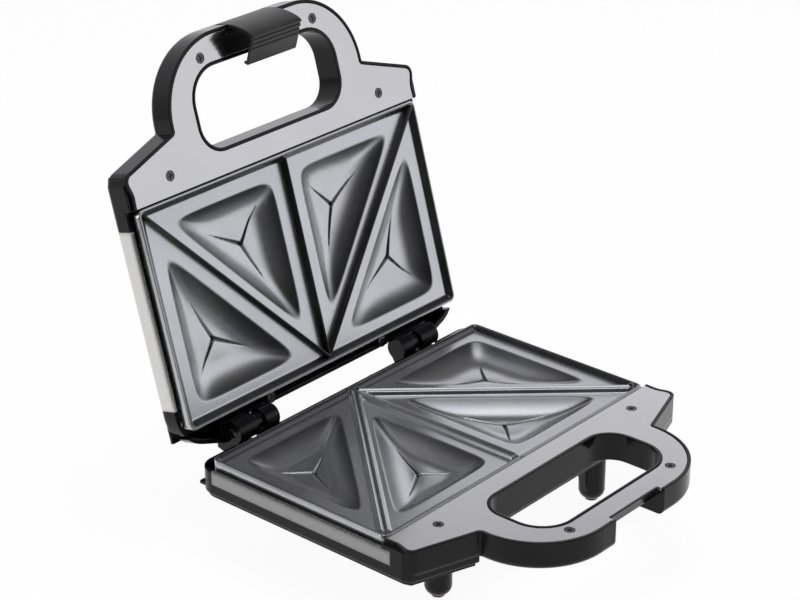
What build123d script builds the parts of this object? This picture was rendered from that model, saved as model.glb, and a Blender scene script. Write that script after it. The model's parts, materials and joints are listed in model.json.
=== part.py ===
from build123d import *
from math import cos, radians, sin, sqrt
import os

# Countertop sandwich toaster with two hinged halves, standing open.
# Millimetres, +Z up, +X along the hinge, the handles point to -Y.
# Each half is drawn in its own plane: origin on the hinge axis in the parting plane,
# y away from the handle, z along the inner normal (up in the base, down in a closed lid).

os.makedirs("parts", exist_ok=True)

# ---------------------------------------------------------------- driving dimensions
open_angle = 105.8          # lid swing from closed to its rest position
ground_to_parting = 59.0    # counter to parting plane
half_gap = 0.3              # each plate rim stays this far from the parting plane

# cooking plates
plate_width = 236.0
plate_depth = 131.8
hinge_setback = 11.7        # hinge axis to the plate's rear edge
plate_corner = 4.5
rim_height = 3.3            # rim top to cooking surface
rim_slope = 4.3             # width of the sloped inner side of the rim
rim_land = 1.2              # width of the rim's top
skin = 2.5                  # casting thickness
plate_skirt = 6.8           # depth of the plate's outer wall below the parting plane
pocket_depth = 7.5
pocket_wall = 9.0           # plan width of a pocket's sloped side
pocket_corner = 6.0         # corner radius at the pocket's mouth
pocket_floor_corner = 1.6   # and at its floor
pocket_diagonal_gap = 8.0   # pocket edge to the diagonal rib's centre line
pocket_centre_gap = 11.0    # inner pocket edge to the centre rib's centre line
pocket_side_gap = 12.5      # outer pocket edge to the plate's side
pocket_back_gap = 10.3      # outer pocket edge to the plate's rear edge
pocket_front_gap = 12.5     # inner pocket edge to the plate's front edge
rib_end_inset = 3.2         # rib ends to the plate's edges

ridge_height = 2.7          # base ridges
ridge_base = 4.0            # half width at the foot
ridge_crest = 2.2           # half width at the crest
groove_depth = 1.2
blade_height = 4.3          # lid blades
blade_base = 1.2
blade_tip = 0.6

# housings
side_gap = 1.5              # plate side to the housing's inner wall
wall = 3.0
wall_top = 5.7              # parting plane to the top of the side walls
body_depth = 20.5           # parting plane to the underside of the base housing
lid_depth = 19.0            # parting plane to the outside of the lid
base_back = 3.5             # hinge axis to the base's rear wall, forward of the axis
back_corner = 12.0
bottom_edge = 1.4           # rounding of the housing's outer edge
lid_edge = 5.0
block_gap = 0.7             # plate front edge to the handle block
lid_bulge = 7.0             # lid corner housings reach this far behind the axis
lid_bulge_inner = 74.0      # their inner ends
lid_bulge_flat = 86.0       # where the bulge starts to curve forward
lid_corner = 21.7
lid_corner_drop = 12.4      # lowest point of the curve at the side, ahead of the bulge

# handle panel outline, measured forward of the plate's front edge
panel_gap = 1.0
panel_waist = 9.0
panel_waist_draw = 0.5      # the panel's side runs in this much at its waist
ear_reach = 2.5             # ears past the plate's side
ear_front = 19.0
ear_root = 33.0
handle_half = 78.0
handle_front = 80.5
handle_radius = 44.0
ear_fillet = 4.0
root_fillet = 3.2
waist_fillet = 12.0
panel_top = 0.6             # parting plane to the panel's face
panel_thickness = 1.8
block_top = 0.4             # parting plane to the housing's rim round the panel
block_depth = 17.5
block_edge = 4.0
rim_width = 1.6             # plastic rim round the panel
panel_clearance = 0.6
ledge = 1.5                 # panel seat
block_floor = 2.2

# finger opening in the panel
opening_half = 60.5
opening_near = 13.8
opening_far = 65.3
opening_near_radius = 17.5
opening_far_radius = 22.0

# notch and latch at the front of the handles
notch_half = 22.5
notch_step = 3.1            # depth of the notch in the panels
base_notch_inset = 3.4      # at the rim
base_notch_draft = 2.3      # further in at the underside
base_notch_near = 8.6       # parting plane to the underside at the finger side
base_notch_front = 7.0      # and at the front
latch_half = 20.5
latch_running_gap = 0.4
slot_inset = 2.7            # latch slot in the lid's handle, at the rim
pivot_inset = 3.0           # front of the handle to the latch pin
pivot_depth = 11.5          # parting plane to the latch pin
barrel_radius = 3.2
pin_diameter = 3.0
pin_running = 0.06          # radial running clearance on pins
cheek = 3.6                 # pin length held in each cheek
bar_solid_half = 27.5       # the handle's front is solid this far to each side

# hinge
knuckle_radius = 7.0
base_knuckle_inner = 56.0
base_knuckle_outer = 67.0
knuckle_gap = 0.4
neck_radius = 5.0
neck_end = 73.2
lid_knuckle_outer = 88.5
hinge_pin_diameter = 5.0
sweep_clearance = 0.6       # gap between a knuckle and the other half
stop_lug_inner = 76.0
stop_lug_outer = 87.0
stop_clearance = 0.3

# metal trim
steel = 0.8
trim_height = 8.6
trim_lip = 2.0
trim_back = 16.0            # hinge axis to the trim's rear end
trim_front = 6.5            # trim's front end past the plate's front edge
cover_back = 25.5           # hinge axis to the lid cover's rear edge
cover_front_gap = 11.0      # lid cover's front edge behind the plate's front edge

# bottom cover and feet
cover_inset = 2.0
cover_thickness = 2.2
belly_inset = 13.0
belly_slope = 13.0
belly_depth = 8.8
belly_corner = 14.0
front_foot_half = 71.5
front_foot_ahead = 2.0      # behind the plate's front edge
rear_foot_half = 60.0
rear_foot_back = 15.0       # hinge axis to the rear feet
foot_diameter = 16.0
foot_round = 6.5
pad_height = 3.5
pad_diameter = 8.0
pad_proud = 0.8
fin_reach = 8.5             # fin beyond the foot at its top
fin_thickness = 5.0
fin_end = 53.0              # parting plane to the fin's lower end

# heating and electrics
element_diameter = 6.5
element_inset = 7.0         # element centre line to the plate's edge
element_back_inset = 6.0
element_corner = 17.0
element_end = 14.0
terminal_pin = 3.0
terminal_length = 9.0
clip_width = 8.0
clip_thickness = 1.0
clip_reach = 40.0           # clips from the plate's corners
reflector_thickness = 0.6
boss_depth = 15.0           # parting plane to the foot of the plate's bosses
boss_diameter = 7.0
boss_inset = 5.6
shelf_width = 9.0
shelf_thickness = 2.0
thermostat_diameter = 15.5
thermostat_ahead = 31.0     # hinge axis to the thermostat
fuse_diameter = 4.0
fuse_length = 11.0
fuse_ahead = 60.0
block_width = 32.0
block_length = 16.0
block_height = 11.0
block_ahead = 44.0
gland_x = 30.0
gland_diameter = 10.0
gland_bore = 6.6
gland_flange = 13.0
gland_flange_thickness = 2.0
gland_depth = 13.5          # parting plane to the gland's axis
lens_diameter = 8.0
lens_proud = 0.6
lens_length = 5.0
lens_spacing = 24.0
lens_ahead = 8.0            # ahead of the plate's front edge
lamp_diameter = 5.0
lamp_length = 11.0

# screws
head_diameter = 5.8
head_height = 1.1
counterbore = 6.4
screw_diameter = 3.0
screw_fit = 0.05            # radial clearance of a screw in its boss
head_sink = 0.1             # screw heads lie this far below their surface
cross_length = 3.2          # cross recess in the heads
cross_width = 0.9
cross_depth = 0.6
screw_boss = 7.5
panel_screws = [(88.9, 12.1), (47.0, 69.4)]
panel_screw_length = 9.5
cover_screw_reach = 27.0    # cover screws from the plate's front and rear edges
rear_screw_x = 49.5
rear_screw_back = 7.8       # hinge axis to the lid's rear screws
rear_boss = 7.2
rear_boss_top = 4.0
plate_screw_length = 8.0
cover_screw_length = 6.0
rear_screw_length = 8.0

# ---------------------------------------------------------------- derived places
plate_back = -hinge_setback
plate_front = plate_back - plate_depth
plate_half = plate_width / 2
panel_half = plate_half
panel_waist_half = plate_half - panel_waist_draw
ear_half = plate_half + ear_reach
land = half_gap + rim_height
housing_half = plate_half + side_gap + wall
cavity_half = plate_half + side_gap
shoulder_top = 2.0
block_back = plate_front - block_gap
opening_edge = rim_width + panel_clearance
body_front = plate_front - opening_near - opening_edge
handle_end = plate_front - handle_front - opening_edge
pivot_y = handle_end + pivot_inset
finger_far = plate_front - opening_far + opening_edge
screw_hole = screw_diameter + 2 * screw_fit
clear_hole = screw_hole + 0.5

back_reach = (
    (-handle_end - block_edge) * -cos(radians(open_angle))
    + (block_depth - block_edge) * sin(radians(open_angle))
    + block_edge
)
hinge_y = (-handle_end - back_reach) / 2

base = Plane(origin=(0, hinge_y, ground_to_parting), x_dir=(1, 0, 0), z_dir=(0, 0, 1))
lid = Plane(
    origin=(0, hinge_y, ground_to_parting),
    x_dir=(-1, 0, 0),
    z_dir=(0, -sin(radians(open_angle)), -cos(radians(open_angle))),
)


def depth(half, z):
    """The plane of a half at height z, where the parting plane is 0."""
    return half.offset(z)


def spots(half, places, z):
    """Locations in a half at height z, one for each (x, y) place."""
    return Locations(*[half.location * Location((x, y, z)) for x, y in places])


def inner_axis(half):
    return Axis(half.origin, half.z_dir)


def across(half, x, y, z, direction):
    """A plane at a point of a half whose normal is a direction in that half."""
    place = half.from_local_coords(Vector(x, y, z))
    normal = half.from_local_coords(Vector(*direction)) - half.origin
    return Plane(origin=place, x_dir=half.z_dir.cross(normal), z_dir=normal)


def save(piece, name):
    piece.label = name
    export_step(piece, f"parts/{name}.step")


# ---------------------------------------------------------------- outlines shared by both halves
with BuildSketch() as panel_outline:
    with Locations((0, plate_front - (handle_front + ear_front) / 2)):
        Rectangle(2 * handle_half, handle_front - ear_front)
    fillet(panel_outline.vertices().sort_by(Axis.Y)[:2], handle_radius)
    with BuildLine():
        Polyline(
            (panel_half, plate_front - panel_gap),
            (panel_waist_half, plate_front - panel_waist),
            (ear_half, plate_front - ear_front),
            (handle_half, plate_front - ear_root),
            (-handle_half, plate_front - ear_root),
            (-ear_half, plate_front - ear_front),
            (-panel_waist_half, plate_front - panel_waist),
            (-panel_half, plate_front - panel_gap),
            close=True,
        )
    make_face()
    roots = panel_outline.vertices().filter_by_position(
        Axis.Y, plate_front - ear_root - 0.1, plate_front - ear_root + 0.1
    )
    fillet(roots, root_fillet)
    ears = panel_outline.vertices().filter_by_position(
        Axis.Y, plate_front - ear_front - 0.1, plate_front - ear_front + 0.1
    )
    fillet(ears, ear_fillet)
    waists = panel_outline.vertices().filter_by_position(
        Axis.Y, plate_front - panel_waist - 0.1, plate_front - panel_waist + 0.1
    )
    fillet(waists, waist_fillet)

with BuildSketch() as opening_outline:
    with Locations((0, plate_front - (opening_near + opening_far) / 2)):
        Rectangle(2 * opening_half, opening_far - opening_near)
    fillet(opening_outline.vertices().sort_by(Axis.Y)[:2], opening_far_radius)
    fillet(opening_outline.vertices().sort_by(Axis.Y)[-2:], opening_near_radius)

with BuildSketch() as block_outline:
    offset(panel_outline.sketch, amount=opening_edge, kind=Kind.INTERSECTION)
    with Locations((0, block_back)):
        Rectangle(4 * plate_half, plate_depth, align=(Align.CENTER, Align.MIN), mode=Mode.SUBTRACT)

with BuildSketch() as finger_outline:
    offset(opening_outline.sketch, amount=-opening_edge)

# recess that the panel lies in, and the hollow under it
with BuildSketch() as recess_outline:
    offset(panel_outline.sketch, amount=panel_clearance, kind=Kind.INTERSECTION)
    offset(opening_outline.sketch, amount=-panel_clearance, mode=Mode.SUBTRACT)
    with Locations((0, plate_front - handle_front - panel_clearance)):
        Rectangle(2 * (notch_half - panel_clearance), 2 * notch_step, mode=Mode.SUBTRACT)

with BuildSketch() as hollow_outline:
    offset(panel_outline.sketch, amount=-ledge)
    offset(opening_outline.sketch, amount=ledge, mode=Mode.SUBTRACT)
    with Locations((0, plate_front - handle_front)):
        Rectangle(2 * bar_solid_half, 2 * (handle_front - opening_far), mode=Mode.SUBTRACT)

with BuildSketch() as front_outline:
    with BuildLine():
        Polyline(
            (housing_half, block_back),
            (housing_half, plate_front - ear_front + 4),
            (ear_half, plate_front - ear_front - 1.5),
            (handle_half + 2, plate_front - ear_root - 1),
            (opening_half + 3, body_front),
            (-opening_half - 3, body_front),
            (-handle_half - 2, plate_front - ear_root - 1),
            (-ear_half, plate_front - ear_front - 1.5),
            (-housing_half, plate_front - ear_front + 4),
            (-housing_half, block_back),
            close=True,
        )
    make_face()

with BuildSketch() as base_outline:
    with Locations((0, block_back)):
        Rectangle(
            2 * housing_half, -block_back - base_back, align=(Align.CENTER, Align.MIN)
        )
    fillet(base_outline.vertices().sort_by(Axis.Y)[-2:], back_corner)
    add(front_outline.sketch)

with BuildSketch() as lid_outline:
    with BuildLine():
        Polyline(
            (housing_half, block_back),
            (housing_half, lid_bulge - lid_corner_drop),
            (lid_bulge_flat, lid_bulge),
            (-lid_bulge_flat, lid_bulge),
            (-housing_half, lid_bulge - lid_corner_drop),
            (-housing_half, block_back),
            close=True,
        )
    make_face()
    corners = lid_outline.vertices().filter_by_position(
        Axis.Y, lid_bulge - lid_corner_drop - 0.1, lid_bulge - lid_corner_drop + 0.1
    )
    fillet(corners, lid_corner)
    with Locations((0, -base_back - 0.5)):
        Rectangle(
            2 * lid_bulge_inner, plate_depth, align=(Align.CENTER, Align.MIN), mode=Mode.SUBTRACT
        )
    add(front_outline.sketch)


def prism(half, outline, top, bottom, edge):
    """An outline extruded from top down to bottom, its outer edge rounded."""
    with BuildPart() as body:
        with BuildSketch(depth(half, -top)):
            add(outline.sketch)
        extrude(amount=-(bottom - top))
        lowest = body.faces().sort_by(inner_axis(half))[0]
        rounded = [
            line
            for line in lowest.edges()
            if abs(half.to_local_coords(line @ 0.5).Y - block_back) > 0.01
        ]
        fillet(rounded, edge)
    return body.part


def panel_screw_places():
    return [(side * x, plate_front - ahead) for x, ahead in panel_screws for side in (-1, 1)]


# ---------------------------------------------------------------- cooking plates
def pocket_corners(outer):
    """Plan corners of the right-hand outer or inner triangular pocket."""
    rise = plate_depth / plate_half
    reach = pocket_diagonal_gap * sqrt(1 + rise**2) / rise
    if outer:
        x = plate_half - pocket_side_gap
        y = plate_back - pocket_back_gap
        along_back = (plate_back - y) / rise + reach
        down_side = plate_back - (x - reach) * rise
        return [(x, y), (along_back, y), (x, down_side)]
    x = pocket_centre_gap
    y = plate_front + pocket_front_gap
    up_centre = plate_back - (x + reach) * rise
    along_front = (plate_back - y) / rise - reach
    return [(x, y), (x, up_centre), (along_front, y)]


def pocket(half, outer, side, grow, top, bottom):
    """A pocket as a solid: rounded triangle at the mouth, smaller one at the floor."""
    corners = [(side * x, y) for x, y in pocket_corners(outer)]
    with BuildPart() as hollow:
        with BuildSketch(depth(half, -top)):
            with BuildLine():
                Polyline(*corners, close=True)
            make_face()
            offset(amount=grow - pocket_corner, mode=Mode.REPLACE)
            offset(amount=pocket_corner, mode=Mode.REPLACE)
        with BuildSketch(depth(half, -bottom)):
            with BuildLine():
                Polyline(*corners, close=True)
            make_face()
            offset(amount=grow - pocket_wall - pocket_floor_corner, mode=Mode.REPLACE)
            offset(amount=pocket_floor_corner, mode=Mode.REPLACE)
        loft(ruled=True)
    return hollow.part


def rib(half, start, end, profile):
    """A straight rib from start to end, its section a list of (half width, height)."""
    length = (Vector(*end) - Vector(*start)).length
    direction = Vector(*end) - Vector(*start)
    section = across(half, start[0], start[1], -land - 0.5, (direction.X, direction.Y, 0))
    with BuildPart() as blade:
        with BuildSketch(section):
            with BuildLine():
                Polyline(*profile, *[(-x, z) for x, z in reversed(profile) if x > 0], close=True)
            make_face()
        extrude(amount=length)
    return blade.part


def plate_boss_places():
    x = plate_half - boss_inset
    return [
        (side * x, y)
        for side in (-1, 1)
        for y in (plate_back - boss_inset + 1, plate_front + boss_inset)
    ]


def cooking_plate(half, ribs, profile):
    with BuildPart() as plate:
        with BuildSketch(depth(half, -half_gap)):
            with Locations((0, (plate_back + plate_front) / 2)):
                RectangleRounded(plate_width, plate_depth, plate_corner)
        extrude(amount=-(plate_skirt - half_gap))
        # sloped inner side of the rim
        for top, inset in ((half_gap, rim_land), (land, rim_land + rim_slope)):
            with BuildSketch(depth(half, -top), mode=Mode.PRIVATE) as level:
                with Locations((0, (plate_back + plate_front) / 2)):
                    RectangleRounded(
                        plate_width - 2 * inset, plate_depth - 2 * inset, plate_corner
                    )
            if top == half_gap:
                mouth = level.sketch
        loft([mouth.face(), level.sketch.face()], mode=Mode.SUBTRACT)
        # hollow underside
        with BuildSketch(depth(half, -plate_skirt)):
            with Locations((0, (plate_back + plate_front) / 2)):
                RectangleRounded(plate_width - 2 * skin, plate_depth - 2 * skin, plate_corner - 1)
        extrude(amount=plate_skirt - land - skin, mode=Mode.SUBTRACT)
        for outer in (True, False):
            for side in (-1, 1):
                add(pocket(half, outer, side, skin * 0.8, land + skin / 2, land + pocket_depth + skin))
        with spots(half, plate_boss_places(), -boss_depth):
            Cylinder(
                boss_diameter / 2,
                boss_depth - land - skin / 2,
                align=(Align.CENTER, Align.CENTER, Align.MIN),
            )
            Cylinder(
                screw_diameter / 2 + screw_fit,
                boss_depth - land - skin - 1,
                align=(Align.CENTER, Align.CENTER, Align.MIN),
                mode=Mode.SUBTRACT,
            )
        for outer in (True, False):
            for side in (-1, 1):
                add(
                    pocket(half, outer, side, 0, land, land + pocket_depth),
                    mode=Mode.SUBTRACT,
                )
        for start, end in ribs:
            add(rib(half, start, end, profile))
    return plate.part


rib_left = (-plate_half + rib_end_inset, plate_front + rib_end_inset)
rib_right = (plate_half - rib_end_inset, plate_front + rib_end_inset)
rib_front = (0, plate_front + rib_end_inset)
rib_back = (0, plate_back - rib_end_inset)
plate_ribs = [(rib_back, rib_front), (rib_back, rib_left), (rib_back, rib_right)]
foot = 0.5
ridge_profile = [
    (ridge_base, 0),
    (ridge_base, foot),
    (ridge_crest, foot + ridge_height),
    (0, foot + ridge_height - groove_depth),
]
blade_profile = [(blade_base, 0), (blade_base, foot), (blade_tip, foot + blade_height)]

save(cooking_plate(base, plate_ribs, ridge_profile), "base_cooking_plate")
save(cooking_plate(lid, plate_ribs, blade_profile), "lid_cooking_plate")


# ---------------------------------------------------------------- handle panels
def handle_panel(half):
    with BuildPart() as panel:
        with BuildSketch(depth(half, -panel_top)):
            add(panel_outline.sketch)
            add(opening_outline.sketch, mode=Mode.SUBTRACT)
            with Locations((0, plate_front - handle_front)):
                Rectangle(2 * notch_half, 2 * notch_step, mode=Mode.SUBTRACT)
        extrude(amount=-panel_thickness)
        with spots(half, panel_screw_places(), -panel_top):
            CounterBoreHole(
                clear_hole / 2, counterbore / 2, head_height + head_sink, panel_thickness
            )
    return panel.part


save(handle_panel(base), "base_handle_panel")
save(handle_panel(lid), "lid_handle_panel")


# ---------------------------------------------------------------- screws
def screws(half, places, seat, length, inward=-1):
    """Pan head screws with a cross recess; the shank runs inward from the seat."""
    with BuildPart() as group:
        with spots(half, places, seat):
            Cylinder(
                head_diameter / 2,
                head_height,
                align=(Align.CENTER, Align.CENTER, Align.MIN if inward < 0 else Align.MAX),
            )
            Cylinder(
                screw_diameter / 2,
                length,
                align=(Align.CENTER, Align.CENTER, Align.MAX if inward < 0 else Align.MIN),
            )
        with spots(half, places, seat - inward * head_height):
            Box(cross_length, cross_width, 2 * cross_depth, mode=Mode.SUBTRACT)
            Box(cross_width, cross_length, 2 * cross_depth, mode=Mode.SUBTRACT)
    return group.part


panel_seat = -(panel_top + head_height + head_sink)
save(screws(base, panel_screw_places(), panel_seat, panel_screw_length), "base_handle_screws")
save(screws(lid, panel_screw_places(), panel_seat, panel_screw_length), "lid_handle_screws")


# ---------------------------------------------------------------- housings
def housing_shell(half, outline, deep, edge):
    """Tub and handle of one housing: rim, panel seat, hollow, bosses, finger opening."""
    seat = panel_top + panel_thickness
    with BuildPart() as shell:
        add(prism(half, outline, wall_top, deep, edge))
        add(prism(half, block_outline, block_top, block_depth, block_edge))
        with BuildSketch(depth(half, -shoulder_top)):
            add(front_outline.sketch)
            add(panel_outline.sketch, mode=Mode.SUBTRACT)
        extrude(amount=-(wall_top - shoulder_top + 0.5))
        with BuildSketch(depth(half, -block_top)):
            add(recess_outline.sketch)
        extrude(amount=-(seat - block_top), mode=Mode.SUBTRACT)
        with BuildSketch(depth(half, -seat)):
            add(hollow_outline.sketch)
        extrude(amount=-(block_depth - block_floor - seat), mode=Mode.SUBTRACT)
        with spots(half, panel_screw_places(), -block_depth + block_floor / 2):
            Cylinder(
                screw_boss / 2,
                block_depth - block_floor / 2 - seat,
                align=(Align.CENTER, Align.CENTER, Align.MIN),
            )
            Cylinder(
                screw_diameter / 2 + screw_fit,
                block_depth,
                align=(Align.CENTER, Align.CENTER, Align.MIN),
                mode=Mode.SUBTRACT,
            )
        with BuildSketch(depth(half, 1)):
            add(finger_outline.sketch)
        extrude(amount=-body_depth - 2, mode=Mode.SUBTRACT)
    return shell.part


def knuckle(half, inner, outer, radius):
    """Hinge knuckles of one half, left and right, with a web down to the rear wall."""
    with BuildPart() as pair:
        for side in (-1, 1):
            with BuildSketch(across(half, side * inner, 0, 0, (side, 0, 0))):
                Circle(radius)
            extrude(amount=outer - inner)
    return pair.part


def web(half, inner, outer, bottom, back):
    """Webs that join the knuckles to the rear wall, right and left."""
    with BuildPart() as pair:
        for x0, x1 in ((inner, outer), (-outer, -inner)):
            with BuildSketch(across(half, x0, 0, 0, (1, 0, 0))):
                # this plane's axes are the half's y and z
                with BuildLine():
                    Polyline(
                        (knuckle_radius, 0),
                        (back, -bottom),
                        (-base_back - 1, -bottom),
                        (-knuckle_radius, 0),
                        close=True,
                    )
                make_face()
            extrude(amount=x1 - x0)
    return pair.part


def sweep_room(half, inner, outer):
    """Room around the other half's knuckles."""
    return knuckle(half, inner - sweep_clearance, outer + sweep_clearance, knuckle_radius + 0.8)


def shelf(half):
    """Ledge inside the housing that carries the reflector and the cooking plate."""
    top = -boss_depth - reflector_thickness
    x = cavity_half - shelf_width
    with BuildPart() as ring:
        add(
            block(
                half,
                (-cavity_half - 1, cavity_half + 1),
                (block_back - 1, -base_back - 1),
                (top, top - shelf_thickness),
            )
        )
        add(
            block(
                half,
                (-x, x),
                (block_back + shelf_width, -base_back - wall - shelf_width),
                (top + 1, top - shelf_thickness - 1),
            ),
            mode=Mode.SUBTRACT,
        )
    return ring.part


def cover_solid(inset, top):
    """The lid's outer form over the length of its metal cover, inset all round."""
    with BuildPart() as body:
        with BuildSketch(across(lid, 0, -cover_back, 0, (0, 1, 0))):
            with Locations((0, -top)):
                Rectangle(
                    2 * (housing_half - inset),
                    lid_depth - inset - top,
                    align=(Align.CENTER, Align.MAX),
                )
        extrude(amount=plate_front + cover_front_gap + cover_back)
        lower = body.edges().filter_by(Axis(lid.origin, lid.y_dir)).sort_by(inner_axis(lid))[:2]
        fillet(lower, lid_edge - inset)
    return body.part


def latch_bar(reach, radius):
    """A round bar on the latch's pivot."""
    with BuildPart() as bar:
        with BuildSketch(across(lid, -reach, pivot_y, -pivot_depth, (1, 0, 0))):
            Circle(radius)
        extrude(amount=2 * reach)
    return bar.part


def stop_lug(side):
    """A lug on the base's rear wall that the open lid's corner housing rests on."""
    swing = radians(open_angle)
    # the lid's rear end face when open, moved down by the clearance
    reach = lid_bulge + stop_clearance
    ahead = -base_back - 1
    behind = lid_depth * 0.75
    top = [(y, (y * cos(swing) - reach) / sin(swing)) for y in (behind, ahead)]
    points = [(ahead, -body_depth + 1), (ahead, top[1][1]), top[0], (behind, top[0][1] - 3)]
    x0, x1 = sorted((side * stop_lug_inner, side * stop_lug_outer))
    return profile(base, x0, x1, points)


def cover_screw_places():
    x = cavity_half - 5.0
    return [
        (side * x, y)
        for side in (-1, 1)
        for y in (plate_back - cover_screw_reach, plate_front + cover_screw_reach)
    ]


def block(half, x, y, z):
    """A box given by its limits in a half's own axes."""
    with BuildPart() as box:
        with spots(half, [((x[0] + x[1]) / 2, (y[0] + y[1]) / 2)], (z[0] + z[1]) / 2):
            Box(abs(x[1] - x[0]), abs(y[1] - y[0]), abs(z[1] - z[0]))
    return box.part


def profile(half, x0, x1, points):
    """A profile in the half's y and z, extruded along the hinge from x0 to x1."""
    with BuildPart() as body:
        with BuildSketch(across(half, x0, 0, 0, (1, 0, 0))):
            with BuildLine():
                Polyline(*points, close=True)
            make_face()
        extrude(amount=x1 - x0)
    return body.part


def posts(half, places, top, bottom, diameter):
    with BuildPart() as group:
        with spots(half, places, -bottom):
            Cylinder(
                diameter / 2, bottom - top, align=(Align.CENTER, Align.CENTER, Align.MIN)
            )
    return group.part


def cavity(half, top, bottom):
    return block(
        half,
        (-cavity_half, cavity_half),
        (block_back, -base_back - wall),
        (-top, -bottom),
    )


notch_front_cut = [
    (handle_end - 1, 1),
    (handle_end + base_notch_inset, 1),
    (handle_end + base_notch_inset + base_notch_draft, -base_notch_front),
    (finger_far + 1, -base_notch_near),
    (finger_far + 1, -block_depth - 1),
    (handle_end - 1, -block_depth - 1),
]
# the lid's slot: room ahead of the rim, down to the barrel and below it
latch_slot = [
    (handle_end - 1, 1),
    (handle_end + slot_inset, 1),
    (handle_end + pivot_inset, -pivot_depth),
    (handle_end + pivot_inset, -pivot_depth - barrel_radius - latch_running_gap),
    (handle_end - 1, -pivot_depth - barrel_radius - latch_running_gap),
]
cover_seat = body_depth + cover_thickness
lid_floor = lid_depth - steel - 1.6
rear_screw_places = [(-rear_screw_x, -rear_screw_back), (rear_screw_x, -rear_screw_back)]
rear_seat = rear_boss_top + head_height + head_sink
lid_seat = lid_depth - steel - head_height - head_sink
pin_inner = base_knuckle_inner + 2.0
pin_outer = lid_knuckle_outer - 1.0
lens_y = plate_front - lens_ahead
lens_places = [(-lens_spacing / 2, lens_y), (lens_spacing / 2, lens_y)]
element_z = land + skin + element_diameter / 2 + 0.05
knuckle_bore = hinge_pin_diameter + 2 * pin_running

with BuildPart() as base_housing:
    add(housing_shell(base, base_outline, body_depth, bottom_edge))
    add(cavity(base, 0, body_depth + 1), mode=Mode.SUBTRACT)
    add(shelf(base))
    add(posts(base, cover_screw_places(), boss_depth + 1, body_depth, screw_boss))
    # hollow under the handle root
    add(
        block(
            base,
            (-cavity_half, cavity_half),
            (block_back - wall, body_front + wall),
            (-block_depth, -body_depth - 1),
        ),
        mode=Mode.SUBTRACT,
    )
    # hinge knuckles, their webs and the lugs that the open lid rests on
    add(knuckle(base, base_knuckle_inner, base_knuckle_outer, knuckle_radius))
    add(knuckle(base, base_knuckle_outer - 1, neck_end - knuckle_gap, neck_radius))
    add(web(base, base_knuckle_inner, base_knuckle_outer, body_depth - 3, -base_back))
    add(sweep_room(base, neck_end, lid_knuckle_outer), mode=Mode.SUBTRACT)
    add(stop_lug(-1))
    add(stop_lug(1))
    add(knuckle(base, pin_inner - 0.1, neck_end, knuckle_bore / 2), mode=Mode.SUBTRACT)
    # seats for the side trims
    for side in (-1, 1):
        add(
            block(
                base,
                (side * (housing_half - steel), side * (housing_half + 1)),
                (-trim_back, plate_front - trim_front),
                (-wall_top + steel, -wall_top + steel - trim_height),
            ),
            mode=Mode.SUBTRACT,
        )
    add(profile(base, -notch_half, notch_half, notch_front_cut), mode=Mode.SUBTRACT)
    add(
        posts(base, plate_boss_places(), boss_depth, body_depth - 2, clear_hole),
        mode=Mode.SUBTRACT,
    )
    add(
        posts(base, cover_screw_places(), boss_depth + 1.5, body_depth + 1, screw_hole),
        mode=Mode.SUBTRACT,
    )
    with BuildSketch(across(base, gland_x, -base_back + 1, -gland_depth, (0, 1, 0))):
        Circle(gland_diameter / 2 + screw_fit)
    extrude(amount=-wall - 4, mode=Mode.SUBTRACT)

save(base_housing.part, "base_housing")

with BuildPart() as lid_housing:
    add(housing_shell(lid, lid_outline, lid_depth, lid_edge))
    add(cavity(lid, 0, lid_floor), mode=Mode.SUBTRACT)
    with BuildSketch(lid):
        offset(lid_outline.sketch, amount=-wall, kind=Kind.INTERSECTION)
        Rectangle(2 * (lid_knuckle_outer + wall), 3 * plate_depth, mode=Mode.SUBTRACT)
        with Locations((0, -base_back - wall - 3)):
            Rectangle(
                3 * plate_half, 2 * plate_depth, align=(Align.CENTER, Align.MAX), mode=Mode.SUBTRACT
            )
    extrude(amount=-lid_floor, mode=Mode.SUBTRACT)
    add(shelf(lid))
    add(posts(lid, rear_screw_places, rear_boss_top, lid_floor + 1, rear_boss))
    # seat for the metal cover, round the sides and the outer face
    add(
        block(
            lid,
            (-housing_half - 1, housing_half + 1),
            (-cover_back, plate_front + cover_front_gap),
            (-wall_top, -lid_depth - 1),
        )
        - cover_solid(steel, 0),
        mode=Mode.SUBTRACT,
    )
    for place in plate_boss_places():
        add(posts(lid, [place], boss_depth, lid_depth, clear_hole), mode=Mode.SUBTRACT)
        add(posts(lid, [place], lid_seat, lid_depth + 1, counterbore), mode=Mode.SUBTRACT)
    add(posts(lid, rear_screw_places, 0, rear_seat, counterbore), mode=Mode.SUBTRACT)
    add(posts(lid, rear_screw_places, 0, rear_boss_top + 10, screw_hole), mode=Mode.SUBTRACT)
    add(posts(lid, lens_places, 0, lid_depth + 1, lens_diameter + 2 * screw_fit), mode=Mode.SUBTRACT)
    add(knuckle(lid, neck_end, lid_knuckle_outer, knuckle_radius))
    add(web(lid, neck_end, lid_knuckle_outer, wall_top + 3, lid_bulge))
    add(sweep_room(lid, base_knuckle_inner, base_knuckle_outer), mode=Mode.SUBTRACT)
    add(
        knuckle(lid, base_knuckle_outer, neck_end, neck_radius + sweep_clearance),
        mode=Mode.SUBTRACT,
    )
    add(knuckle(lid, neck_end - 1, lid_knuckle_outer + 1, knuckle_bore / 2), mode=Mode.SUBTRACT)
    # slot for the latch arm, recess for its barrel, bores for its pin
    slot = latch_half + latch_running_gap
    add(profile(lid, -slot, slot, latch_slot), mode=Mode.SUBTRACT)
    add(latch_bar(slot, barrel_radius + latch_running_gap), mode=Mode.SUBTRACT)
    add(latch_bar(latch_half + cheek, pin_diameter / 2 + pin_running), mode=Mode.SUBTRACT)

save(lid_housing.part, "lid_housing")


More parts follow.
